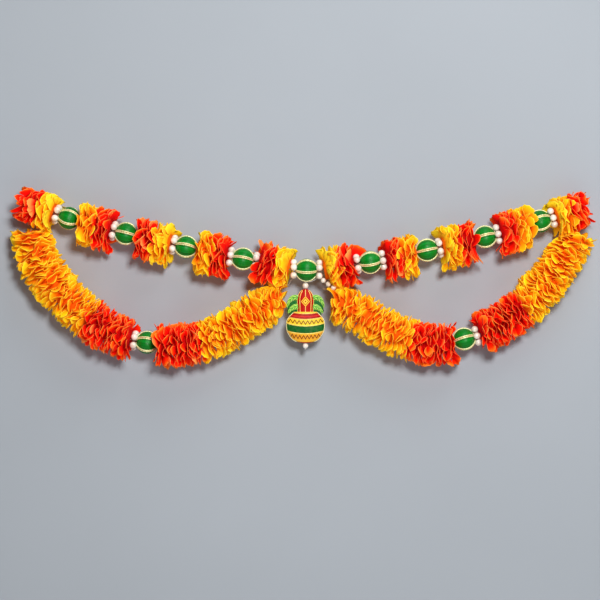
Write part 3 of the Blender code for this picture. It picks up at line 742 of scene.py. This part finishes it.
class Stretch:
    """A stretch of petals in one colour on a thread. Whole bunches of petals are combed to
    and fro by comb, and neighbours ruffled together by ruffle. Each petal alone is pushed,
    twisted, curled across and swayed round the thread. walls are where the petals press on
    their neighbours."""

    COMB_SIZE, RUFFLE_SIZE = 0.028, 0.014
    MOST_BEND = 0.026
    comb, ruffle, tone = 0.0080, 0.0035, 0.0
    push, twist, curl, sway = 0.0030, 0.0080, 0.0060, 0.10

    def __init__(self, name, colour, axis, start, end, seed, walls=(), sag=0.0012):
        self.name, self.colour, self.axis, self.sag = name, colour, axis, sag
        self.start, self.end, self.seed, self.walls = start, end, seed, walls
        self.draw = random.Random(name)

    def layer(self, cut, station, lean, size, calm):
        """One layer at its station on the thread. lean(angle, station) moves its tips along
        the thread, size scales its reach, and calm scales all that makes its petals uneven.
        Each of a petal's movements grows towards its tip."""
        copy = copied(cut.piece)
        centre, along = self.axis(station)
        up = up_from(along)
        turn = self.draw.uniform(0, math.tau)
        pushes, twists, curls, sways = (
            [max(-2.0, min(2.0, self.draw.gauss(0, 1))) * spread * calm for _ in range(cut.petals)]
            for spread in (self.push, self.twist, self.curl, self.sway)
        )
        for petal in range(cut.petals):
            middle = turn + math.tau * (petal + 0.5) / cut.petals
            pushes[petal] += calm * self.comb * field(middle, station, self.COMB_SIZE, self.seed)
        # Calm layers get a lift in tint, which is a painted highlight, on top of the stretch's own
        # tone.
        tone_and_highlight = self.tone + SMOOTH_HIGHLIGHT * (1 - calm)
        tints = [self.draw.random() + tone_and_highlight for _ in range(cut.petals)]
        columns = {}
        places, shades = [], []
        for column, angle, out, height, share, petal, across in cut.marks:
            if column not in columns:
                push, twist = pushes[petal], twists[petal] * across
                curl, sway = curls[petal] * (across * across - CURL_MIDDLE), sways[petal]
                if across == -1:  # the cleft that it shares with the petal before it
                    push = (push + pushes[petal - 1]) / 2
                    twist = (twist + twists[petal - 1]) / 2
                    curl = (curl + (1 - CURL_MIDDLE) * curls[petal - 1]) / 2
                    sway = (sway + sways[petal - 1]) / 2
                place = angle + turn
                bend = max(-self.MOST_BEND, min(self.MOST_BEND, lean(place, station) + push))
                ripple = field(place, station, self.RUFFLE_SIZE, self.seed + 5)
                ripple = calm * self.ruffle * ripple
                columns[column] = bend, twist + curl, ripple, place, sway
            bend, turned, ripple, place, sway = columns[column]
            tip = bend + turned
            shift = height + bend * share**1.5 + turned * share**1.3 + ripple * share**2
            out = (out - LAYER_ROWS[0]) * size - 0.5 * tip * tip / FREE * share**2 + LAYER_ROWS[0]
            place += sway * share**2
            upward, toward = out * math.sin(place), out * math.cos(place)
            x = centre.x + along.x * shift + up.x * upward
            z = centre.z + along.z * shift + up.z * upward - self.sag * share
            for wall_x, wall_z, way_x, way_z, hold in self.walls:
                over = (x - wall_x) * way_x + (z - wall_z) * way_z
                if over > 0:
                    x, z = x - way_x * over * hold, z - way_z * over * hold
            places += (x, -toward, z)
            shades.append(tints[petal])
        copy.data.vertices.foreach_set("co", places)
        copy.data.attributes["tint"].data.foreach_set("value", shades)
        return copy

    def core(self):
        """The close-packed middle of the layers, as a round body along the thread."""
        piece = cut_rod(CORE_SIDES, CORE, max(2, round((self.end - self.start) / CORE_STEP)))
        for vertex in piece.data.vertices:
            centre, along = self.axis(self.start + (self.end - self.start) * (vertex.co.z + 0.5))
            vertex.co = centre + up_from(along) * vertex.co.y + Vector((0, -vertex.co.x, 0))
        # With reach 0 the core takes the ramp's deepest colour, which is painted shade in the
        # packed middle.
        for name in ("rim", "reach", "tint"):
            piece.data.attributes.new(name, "FLOAT", "POINT")
        return piece

    def fill(self, cuts, pitch, size, lean, smooth_end=None):
        """Threads the stretch full of layers and ends it. lean is as for a layer, and
        size(station) scales the layer there. smooth_end is the end that has the smooth layers,
        0 for the start and 1 for the end."""
        count = max(3, round((self.end - self.start) / pitch))
        layers = []
        for n in range(count):
            share = (n + 0.5) / count
            station = self.start + (self.end - self.start) * share
            reach = size(station) * self.draw.uniform(*LAYER_SIZES)
            cut, calm = self.draw.choice(cuts), 1.0
            if smooth_end is not None and abs(share - smooth_end) * count < SMOOTH_LAYERS:
                cut, calm = self.draw.choice(SMOOTH_CUTS), SMOOTH_CALM
            layers.append(self.layer(cut, station, lean, reach, calm))
        piece = joined(f"{self.name}_petals", layers + [self.core()])
        piece.data.materials.clear()
        piece.data.materials.append(cloths[self.colour].material)
        put_on(piece, self.name, slot=f"marigold_{self.colour}")


class SwagStretch(Stretch):
    """A swag's petals are less twisted and curled than a tuft's, and a little deeper in
    colour."""

    tone, twist, curl = -0.04, 0.0060, 0.0050


cut_draw = random.Random(11)
TUFT_CUTS = [CutLayer(8, 0.42, cut_draw) for _ in range(4)]
SWAG_CUTS = [CutLayer(10, 0.40, cut_draw) for _ in range(4)]
SMOOTH_CUTS = [CutLayer(7, 0.42, cut_draw) for _ in range(2)]

# Where petals press on their neighbours, as places and directions in the garland's plane.
# Most of what would pass such a place is held back there.
PRESS_GAP = 0.8
WALL_HOLD, CHAIN_HOLD = 0.5, 0.8


def between(x, z, across, up):
    """The two walls of a gap between neighbours, as part of the garland's plane."""
    outwards = Vector((across, up)).normalized()
    middle = Vector((x, z))
    return (
        wall_at(middle - outwards * PRESS_GAP, outwards),
        wall_at(middle + outwards * PRESS_GAP, -outwards),
    )


def wall_at(place, outwards, hold=WALL_HOLD):
    spot = flat(*place)
    return spot.x, spot.z, *outwards.normalized(), hold


left_end_swag, left_end_tuft = between(-435.0, 87.0, 0.37, 0.93)
right_end_swag, right_end_tuft = between(437.0, 66.0, -0.481, 0.876)
left_mid_swag, left_mid_tuft = between(-42.0, -17.6, 0.0, 1.0)
_, right_mid_tuft = between(65.0, -17.6, 0.0, 1.0)
TUFT_WALLS = {
    0: [left_end_tuft],
    4: [left_mid_tuft, wall_at((-14.7, 14.0), Vector((59, -25)))],
    5: [right_mid_tuft, wall_at((39.5, 17.0), Vector((-62, -34)), CHAIN_HOLD)],
    9: [right_end_tuft],
}
LEFT_SWAG_WALLS = {
    0: [left_end_swag], 3: [left_mid_swag, wall_at((-22.0, -40.0), Vector((1, 0)))],
}
RIGHT_SWAG_WALLS = {
    0: [wall_at((65.0, -23.5), Vector((0, 1))), wall_at((37.4, -40.0), Vector((-1, 0)))],
    3: [right_end_swag],
}

# How far the petals at a bunch's end go out all round, how far back at the front, how much
# further out at the top than at the bottom, and how fast it all fades from layer to layer.
# Where a bunch meets a ring of pearls, its front petals fold back from the pearls like an open
# flower, further in yellow than in orange, and the others spread out over them.
RINGED = {"yellow": (0.014, 0.026, 0.006, 0.014), "orange": (0.014, 0.016, 0.004, 0.013)}
END_RINGED, SWAG_RINGED = (0.018, 0.026, 0.006, 0.014), (0.0085, 0.013, 0.003, 0.013)
LEFT_END, RIGHT_END = (0.024, -0.014, 0.004, 0.016), (0.015, -0.014, 0.008, 0.016)
SWAG_OUTER = (0.013, 0.002, 0.0, 0.018)
LEFT_INNER, RIGHT_INNER = (0.003, 0.002, 0.026, 0.028), (0.010, -0.006, 0.022, 0.026)
# The end tufts and the swags' outer ends are smaller at their very end, by this share, which
# fades over this distance.
END_TRIM, TRIM_FADE = 0.16, 0.018
# The petals that fold most are seen above the middle of the front.
FOLD_MIDDLE, FOLD_POWER = math.radians(38), 1.5
LAP_SPREAD, LAP_FADE = -0.002, 0.013


def lapped(reach, spread=LAP_SPREAD):
    """The opening of a bunch whose front petals lie over the bead next to it."""
    return spread, -reach, 0.0, LAP_FADE


def opened(angle, distance, opening):
    """How far a layer's tips move out of the end of its bunch, at a distance from that end."""
    spread, fold, tilt, fade = opening
    front = max(0.0, math.cos(angle - FOLD_MIDDLE)) ** FOLD_POWER
    out = spread * (1 - front) - fold * front + tilt * math.sin(angle)
    return math.exp(-distance / fade) * out


def trimmed(distance):
    """The size of a layer at a distance from a trimmed end, as a share of the full size."""
    return 1 - END_TRIM * math.exp(-distance / TRIM_FADE)


# Each tuft is two bunches of layers, one in each colour. Where a bead next to it has no ring,
# the tuft laps over the bead. The end tufts droop most, as the swags pull them down, and the
# middle two sit up on the swags' ends.
TUFT_PITCH, TUFT_SIZE = 0.0043, 1.10
TUFT_SAG = 0.0035
OTHER_SAGS = {0: 0.0078, 4: -0.0005, 5: -0.0005, 9: 0.0078}
BEAD_LAPS = {1: 0.009, 2: 0.003, 3: 0.005, 6: 0.007, 7: 0.009, 8: 0.012}


def set_tuft(k):
    low, high = tuft_ends(k)
    along = (high - low).normalized()
    length = (high - low).length
    halves = ("orange", "yellow") if k % 2 == 0 else ("yellow", "orange")
    if k == 0:
        ends = LEFT_END, END_RINGED
    elif k == len(beads):
        ends = END_RINGED, RIGHT_END
    else:
        ringed = 1 in RINGS[k - 1], -1 in RINGS[k]
        ends = [
            RINGED[colour] if ring else lapped(BEAD_LAPS[k]) for colour, ring in zip(halves, ringed)
        ]

    def axis(station):
        return low + along * station, along

    def lean(angle, station):
        return opened(angle, length - station, ends[1]) - opened(angle, station, ends[0])

    def size(station):
        if 0 < k < len(beads):
            return TUFT_SIZE
        return TUFT_SIZE * trimmed(station if k == 0 else length - station)

    walls, sag = TUFT_WALLS.get(k, ()), OTHER_SAGS.get(k, TUFT_SAG)
    for half, colour in enumerate(halves):
        start, end = (0.0, length / 2 - SEAM) if half == 0 else (length / 2 + SEAM, length)
        bunch = Stretch(f"tuft_{k + 1:02d}_{colour}", colour, axis, start, end, k, walls, sag)
        smooth = ends[half] in (RINGED["yellow"], END_RINGED)
        bunch.fill(TUFT_CUTS, TUFT_PITCH, size, lean, half if smooth else None)


for k in range(len(beads) + 1):
    set_tuft(k)

# Each swag is four stretches of layers with more and narrower petals than a tuft's, in yellow
# at both ends and in orange round its bead. The left one is thinner towards the middle.
SWAG_PITCH = 0.0047
LEFT_THINNING, THIN_FROM, THIN_OVER = 0.08, 0.62, 0.12


def set_swag(side, line, changes, ring_side, seed, full, walls, openings):
    """One swag on its line. changes are the x of its changes of colour, ring_side the side of
    its bead with the ring, full its layers' size, and openings its stretches' ends, which are
    the first end of stretches 1 and 3 and the last of 2 and 4."""
    bead_at = swag_beads[side]
    bead_axis = line.at(bead_at)[1]
    faces = []
    for way in (-1, 1):
        if way == ring_side:
            tilt = bead_axis.angle(line.at(bead_at + way * (RING_PLANE + PEARL))[1])
            away = past_ring(tilt)
        else:
            tilt = bead_axis.angle(line.at(bead_at + way * BEAD_HALF)[1])
            away = BEAD_HALF + FIT + BEAD_RADIUS * tilt**2
        faces.append(bead_at + way * away)
    first_change, last_change = (line.distance_at_x((x - MIDDLE[0]) * MM) for x in changes)
    stretches = [
        ("1_yellow", 0.0, first_change - SEAM), ("2_orange", first_change + SEAM, faces[0]),
        ("3_orange", faces[1], last_change - SEAM), ("4_yellow", last_change + SEAM, line.length),
    ]

    def size(station):
        if side == "right":
            return full * trimmed(line.length - station)
        thinning = min(1.0, max(0.0, (station / line.length - THIN_FROM) / THIN_OVER))
        return full * (1 - LEFT_THINNING * thinning) * trimmed(station)

    for n, ((label, start, end), opening) in enumerate(zip(stretches, openings)):
        def lean(angle, station):
            if n % 2 == 0:
                return -opened(angle, station - start, opening)
            return opened(angle, end - station, opening)

        name, colour = f"swag_{side}_{label}", label.split("_")[1]
        stretch = SwagStretch(name, colour, line.at, start, end, seed, walls.get(n, ()))
        stretch.fill(SWAG_CUTS, SWAG_PITCH, size, lean)


set_swag(
    "left", left_line, (-347.0, -161.0), -1, 30, 1.11, LEFT_SWAG_WALLS,
    (SWAG_OUTER, SWAG_RINGED, lapped(0.006), LEFT_INNER),
)
set_swag(
    "right", right_line, (180.7, 365.0), 1, 40, 1.06, RIGHT_SWAG_WALLS,
    (RIGHT_INNER, lapped(0.008, 0.002), SWAG_RINGED, SWAG_OUTER),
)
for cut in TUFT_CUTS + SWAG_CUTS + SMOOTH_CUTS:
    bpy.data.objects.remove(cut.piece)

# The pendant is a domed plaque with a flat back: a round water pot, with a coconut and mango
# leaves standing in its mouth. It is moulded, painted in bands, and edged with fine gold cord.
PENDANT_X = 8.2
PENDANT_BACK = 4.0
POT_ROWS = [
    (-109.0, 7.0, 3.0), (-107.0, 13.5, 5.0), (-103.0, 21.0, 7.0), (-96.0, 26.5, 9.0),
    (-89.5, 30.0, 10.2), (-79.0, 31.3, 10.8), (-71.0, 30.2, 10.2), (-65.0, 26.0, 8.8),
    (-60.0, 21.0, 7.4), (-57.5, 18.6, 6.2),
]
COCONUT_ROWS = [
    (-61.0, 12.4, 6.0), (-55.5, 12.6, 6.2), (-45.0, 13.2, 7.0), (-36.0, 13.3, 7.2),
    (-29.0, 11.4, 6.4), (-23.5, 7.6, 4.4), (-19.8, 3.4, 2.6),
]


class Dome:
    """A round form with a flat back, through rows of height, half width and depth in mm."""

    def __init__(self, rows):
        self.rows = Line([Vector((half, depth, height)) for height, half, depth in rows], 5).points

    def place(self, height, angle):
        """The place on it at a height and an angle from the front, and the way off it."""
        rows = self.rows
        index = min(sum(row.z < height for row in rows[1:-1]), len(rows) - 2)
        low, high = rows[index], rows[index + 1]
        row = low.lerp(high, max(0.0, min(1.0, (height - low.z) / (high.z - low.z))))
        spot = flat(PENDANT_X + row.x * math.sin(angle), height)
        ahead = row.y * math.cos(angle)
        spot.y = (-ahead if ahead > 0 else min(-2 * ahead, PENDANT_BACK, row.y)) * MM
        return spot, Vector((math.sin(angle) * row.y, -math.cos(angle) * row.x, 0.0)).normalized()

    def form(self, name, look):
        """The dome as a closed mesh."""
        steps = len(self.rows) - 1
        piece = cut_rod(56, 1.0, steps)
        piece.name = piece.data.name = name
        for vertex in piece.data.vertices:
            height = self.rows[round((vertex.co.z + 0.5) * steps)].z
            if vertex.co.xy.length < 0.5:
                vertex.co = flat(PENDANT_X, height)
            else:
                vertex.co = self.place(height, math.atan2(vertex.co.x, -vertex.co.y))[0]
        piece.data.materials.append(look.material)
        return piece


POT_FOOT, POT_TOP, SMILE = -110.0, -55.0, 0.0048
# The red band is lighter along its middle than at its edges, which is a painted highlight.
BAND_COLOURS = [
    (-110.0, (0.42, 0.01, 0.0)), (-107.6, (0.95, 0.50, 0.03)), (-104.6, (0.93, 0.42, 0.02)),
    (-94.6, (0.95, 0.60, 0.06)), (-92.6, (0.0, 0.11, 0.014)), (-81.8, (0.80, 0.76, 0.10)),
    (-79.8, (0.96, 0.64, 0.025)), (-70.6, (0.80, 0.26, 0.02)), (-69.2, (0.36, 0.001, 0.002)),
    (-66.4, (0.62, 0.01, 0.012)), (-64.6, (0.36, 0.001, 0.002)), (-61.4, (0.92, 0.58, 0.04)),
]
MARK_BANDS = [(-75.2, 2.9, 3.5, (0.20, 0.07, 0.0)), (-99.4, 3.0, 3.1, (0.20, 0.012, 0.0))]
paint = Finish("painted_bands", roughness=0.5, specular_ior_level=0.15)
across = (paint.apart(paint.place(), "X") / MM) + (MIDDLE[0] - PENDANT_X)
level = (paint.apart(paint.place(), "Z") / MM) + MIDDLE[1] - across * across * SMILE
brush = paint.noise(paint.place(), 420.0, 2.0)
stops = [((at - POT_FOOT) / (POT_TOP - POT_FOOT), colour) for at, colour in BAND_COLOURS]
bands = paint.ramp((level + (brush - 0.5) * 0.8 - POT_FOOT) / (POT_TOP - POT_FOOT), stops)
bands.socket.node.color_ramp.interpolation = "CONSTANT"
for middle, half, step, mark_colour in MARK_BANDS:
    from_middle = level - middle
    slope = across.zigzag(step) * (2 * half / step) - half
    stroke = 1 - (from_middle - slope).size().above(1.5, 0.4)
    counter = 1 - (from_middle + slope).size().above(0.7, 0.3)
    inside = 1 - from_middle.size().above(half + 0.6, 0.3)
    marks = (stroke + counter * 0.4) * inside * brush.above(0.25, 0.12)
    bands = paint.mix(marks, bands, mark_colour)
worn = paint.noise(paint.place(), 150.0, 3.0)
paint.feed("Base Color", paint.mix(worn.above(0.55, 0.2) * 0.04, bands, (1.0, 0.85, 0.45)))
paint.bump(brush + worn, 0.0003, 0.5)

LOZENGE_Z, LOZENGE_WIDE, LOZENGE_HIGH = -40.5, 7.2, 8.6
husk = Finish("red_coconut_paint", roughness=0.5, specular_ior_level=0.15)
husk_across = ((husk.apart(husk.place(), "X") / MM) + (MIDDLE[0] - PENDANT_X)).size()
husk_height = (husk.apart(husk.place(), "Z") / MM) + (MIDDLE[1] - LOZENGE_Z)
lozenge = husk_across / LOZENGE_WIDE + husk_height.size() / LOZENGE_HIGH
ornament = (1 - (lozenge - 0.9).size().above(0.11, 0.04)) + (1 - lozenge.above(0.6, 0.04))
ornament = ornament - (1 - lozenge.above(0.2, 0.04))
stretched = husk.node("CombineXYZ", values={0: husk_across * 1.5, 1: husk_height * 0.12})
fibres = husk.noise(stretched, 1.0)
red = husk.ramp(
    fibres, [(0.3, (0.22, 0.0, 0.0)), (0.5, (0.48, 0.002, 0.001)), (0.7, (0.66, 0.02, 0.008))]
)
husk.feed("Base Color", husk.mix(ornament, red, (0.98, 0.62, 0.05)))
husk.bump(fibres + ornament * 0.6, 0.0005, 0.6)

pot, coconut = Dome(POT_ROWS), Dome(COCONUT_ROWS)
put_on(pot.form("pot", paint), "kalash", slot="painted_pot", crease=math.radians(50))
put_on(coconut.form("coconut", husk), crease=math.radians(50))

# Fine gold cords edge the pot and its bands, and run up the coconut from foot to crown.
FINE_CORD, FINE_TWISTS = 0.00062, 26
CORD_FOOT, SHORT_TWISTS, BAND_REACH = -58.5, 8, math.radians(84)
gilt = grained(
    "gilt_cord", 700.0,
    [(0.3, (0.85, 0.42, 0.05)), (0.5, (0.97, 0.70, 0.14)), (0.7, (0.98, 0.88, 0.38))],
    rough=0.5, metallic=0.2, roughness=0.42,
)


def upright_line(dome, angle, low, high):
    return lambda share: dome.place(low + (high - low) * share, angle)


def band_line(dome, level):
    """A line round the front of a dome that rises towards both sides."""
    def line(share):
        angle = (2 * share - 1) * BAND_REACH
        height = level
        for _ in range(4):
            x = (dome.place(height, angle)[0].x / MM) + MIDDLE[0] - PENDANT_X
            height = level + SMILE * x * x
        return dome.place(height, angle)
    return line


fine_cords = [laid_cord(band_line(pot, level), FINE_CORD, FINE_TWISTS, gilt)
              for level in (-60.6, -69.9, -80.8, -93.6)]
for side in (-1, 1):
    edge = upright_line(pot, side * math.radians(86), -106.5, CORD_FOOT)
    fine_cords.append(laid_cord(edge, FINE_CORD * 1.3, FINE_TWISTS, braid))
    for angle, top in ((84, -21.5), (44, -22.5)):
        rib = upright_line(coconut, side * math.radians(angle), CORD_FOOT, top)
        fine_cords.append(laid_cord(rib, FINE_CORD, FINE_TWISTS, gilt))
for foot, top in ((CORD_FOOT, -49.0), (-32.0, -21.0)):
    middle_rib = upright_line(coconut, 0.0, foot, top)
    fine_cords.append(laid_cord(middle_rib, FINE_CORD, SHORT_TWISTS, gilt))
put_on(joined("pendant_cords", fine_cords))
bpy.data.objects.remove(cord)

# Mango leaves curve out and down at both sides of the coconut: two pale ones with darker ones
# between and behind them, which are painted shade between the pale ones. Each is folded a little
# along its middle vein.
LEAF_RISE, LEAF_THICK = 1.6, 0.0009
PALE_ARCS = [
    ((10.0, -35.0), (26.5, -29.5), (30.4, -50.5)), ((10.0, -49.5), (21.5, -46.5), (28.8, -60.0))
]
SHADE_ARCS = [
    ((10.0, -41.5), (25.0, -40.5), (29.4, -57.5)), ((10.0, -56.0), (20.2, -54.5), (25.6, -62.5))
]


def leaf_finish(name, colours, vein_colour):
    leaf = Finish(name, roughness=0.55, specular_ior_level=0.2)
    along = leaf.apart(leaf.node("TexCoord", output="UV"), "X")
    out = (leaf.apart(leaf.node("TexCoord", output="UV"), "Y") * 2 - 1).size()
    veins = (along * 4 - out * 1.3).zigzag(0.5).above(0.22, 0.12) * out.above(0.14, 0.08)
    veins = veins + out.above(0.86, 0.06)
    patch = leaf.noise(leaf.place(), 260.0)
    blade = leaf.ramp(patch, [(0.35, colours[0]), (0.65, colours[1])])
    leaf.feed("Base Color", leaf.mix(veins * 0.8, blade, vein_colour))
    leaf.bump(veins, 0.0003, 0.6)
    return leaf


pale_leaf = leaf_finish("pale_leaf", ((0.03, 0.22, 0.012), (0.09, 0.40, 0.03)), (0.50, 0.86, 0.16))
# The very dark green leaves are painted shade between and behind the pale ones.
shade_leaf = leaf_finish("shade_leaf", ((0.0, 0.06, 0.008), (0.0, 0.13, 0.015)), (0.01, 0.20, 0.025))


def leaf(arc, side, half_width, back, look):
    """One leaf on its arc, given by its root, its bend and its tip."""
    bpy.ops.object.select_all(action="DESELECT")
    bpy.ops.mesh.primitive_grid_add(x_subdivisions=16, y_subdivisions=8, size=1.0)
    piece = bpy.context.object
    root, bend, tip = (Vector(place) for place in arc)
    for vertex in piece.data.vertices:
        t, v = vertex.co.x + 0.5, vertex.co.y * 2
        spot = root * (1 - t) ** 2 + bend * 2 * t * (1 - t) + tip * t * t
        ahead = ((bend - root) * (1 - t) + (tip - bend) * t).normalized()
        width = half_width * min(1.0, 0.7 + 1.2 * t) * max(0.02, 1 - t * t) ** 0.8
        width *= 1 + 0.06 * math.sin(t * 40)
        spot += Vector((-ahead.y, ahead.x)) * width * v
        rise = LEAF_RISE * (1 - v * v) * (1 - 0.5 * t) - 0.5 * (1 - abs(v)) ** 4
        vertex.co = flat(PENDANT_X + side * spot.x, spot.y) + Vector((0, (back - rise) * MM, 0))
    if side > 0:
        piece.data.flip_normals()
    thicken = piece.modifiers.new("leaf", "SOLIDIFY")
    thicken.thickness, thicken.offset = LEAF_THICK, -1.0
    bpy.ops.object.modifier_apply(modifier=thicken.name)
    piece.data.materials.append(look.material)
    return piece


for name, arcs, half_width, back, look in (
    ("pale_leaves", PALE_ARCS, 4.4, -0.4, pale_leaf),
    ("shade_leaves", SHADE_ARCS, 3.6, 1.2, shade_leaf),
):
    leaves = [leaf(arc, side, half_width, back, look) for arc in arcs for side in (-1, 1)]
    put_on(joined(name, leaves))

# One pearl sits on the coconut, where the thread goes in, and a smaller one hangs under the
# pot's foot.
END_PEARL_EXTRA = 0.0004
for name in ("pearl_top", "pearl_bottom"):
    low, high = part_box(name)
    model = strung_pearl((high.x - low.x) / 2 + END_PEARL_EXTRA)
    end_pearl = set_pearl(model, (low + high) / 2, Vector((0, 0, 1)))
    bpy.data.objects.remove(model)
    put_on(joined(f"{name}_round", [end_pearl]), name, slot="pearl")
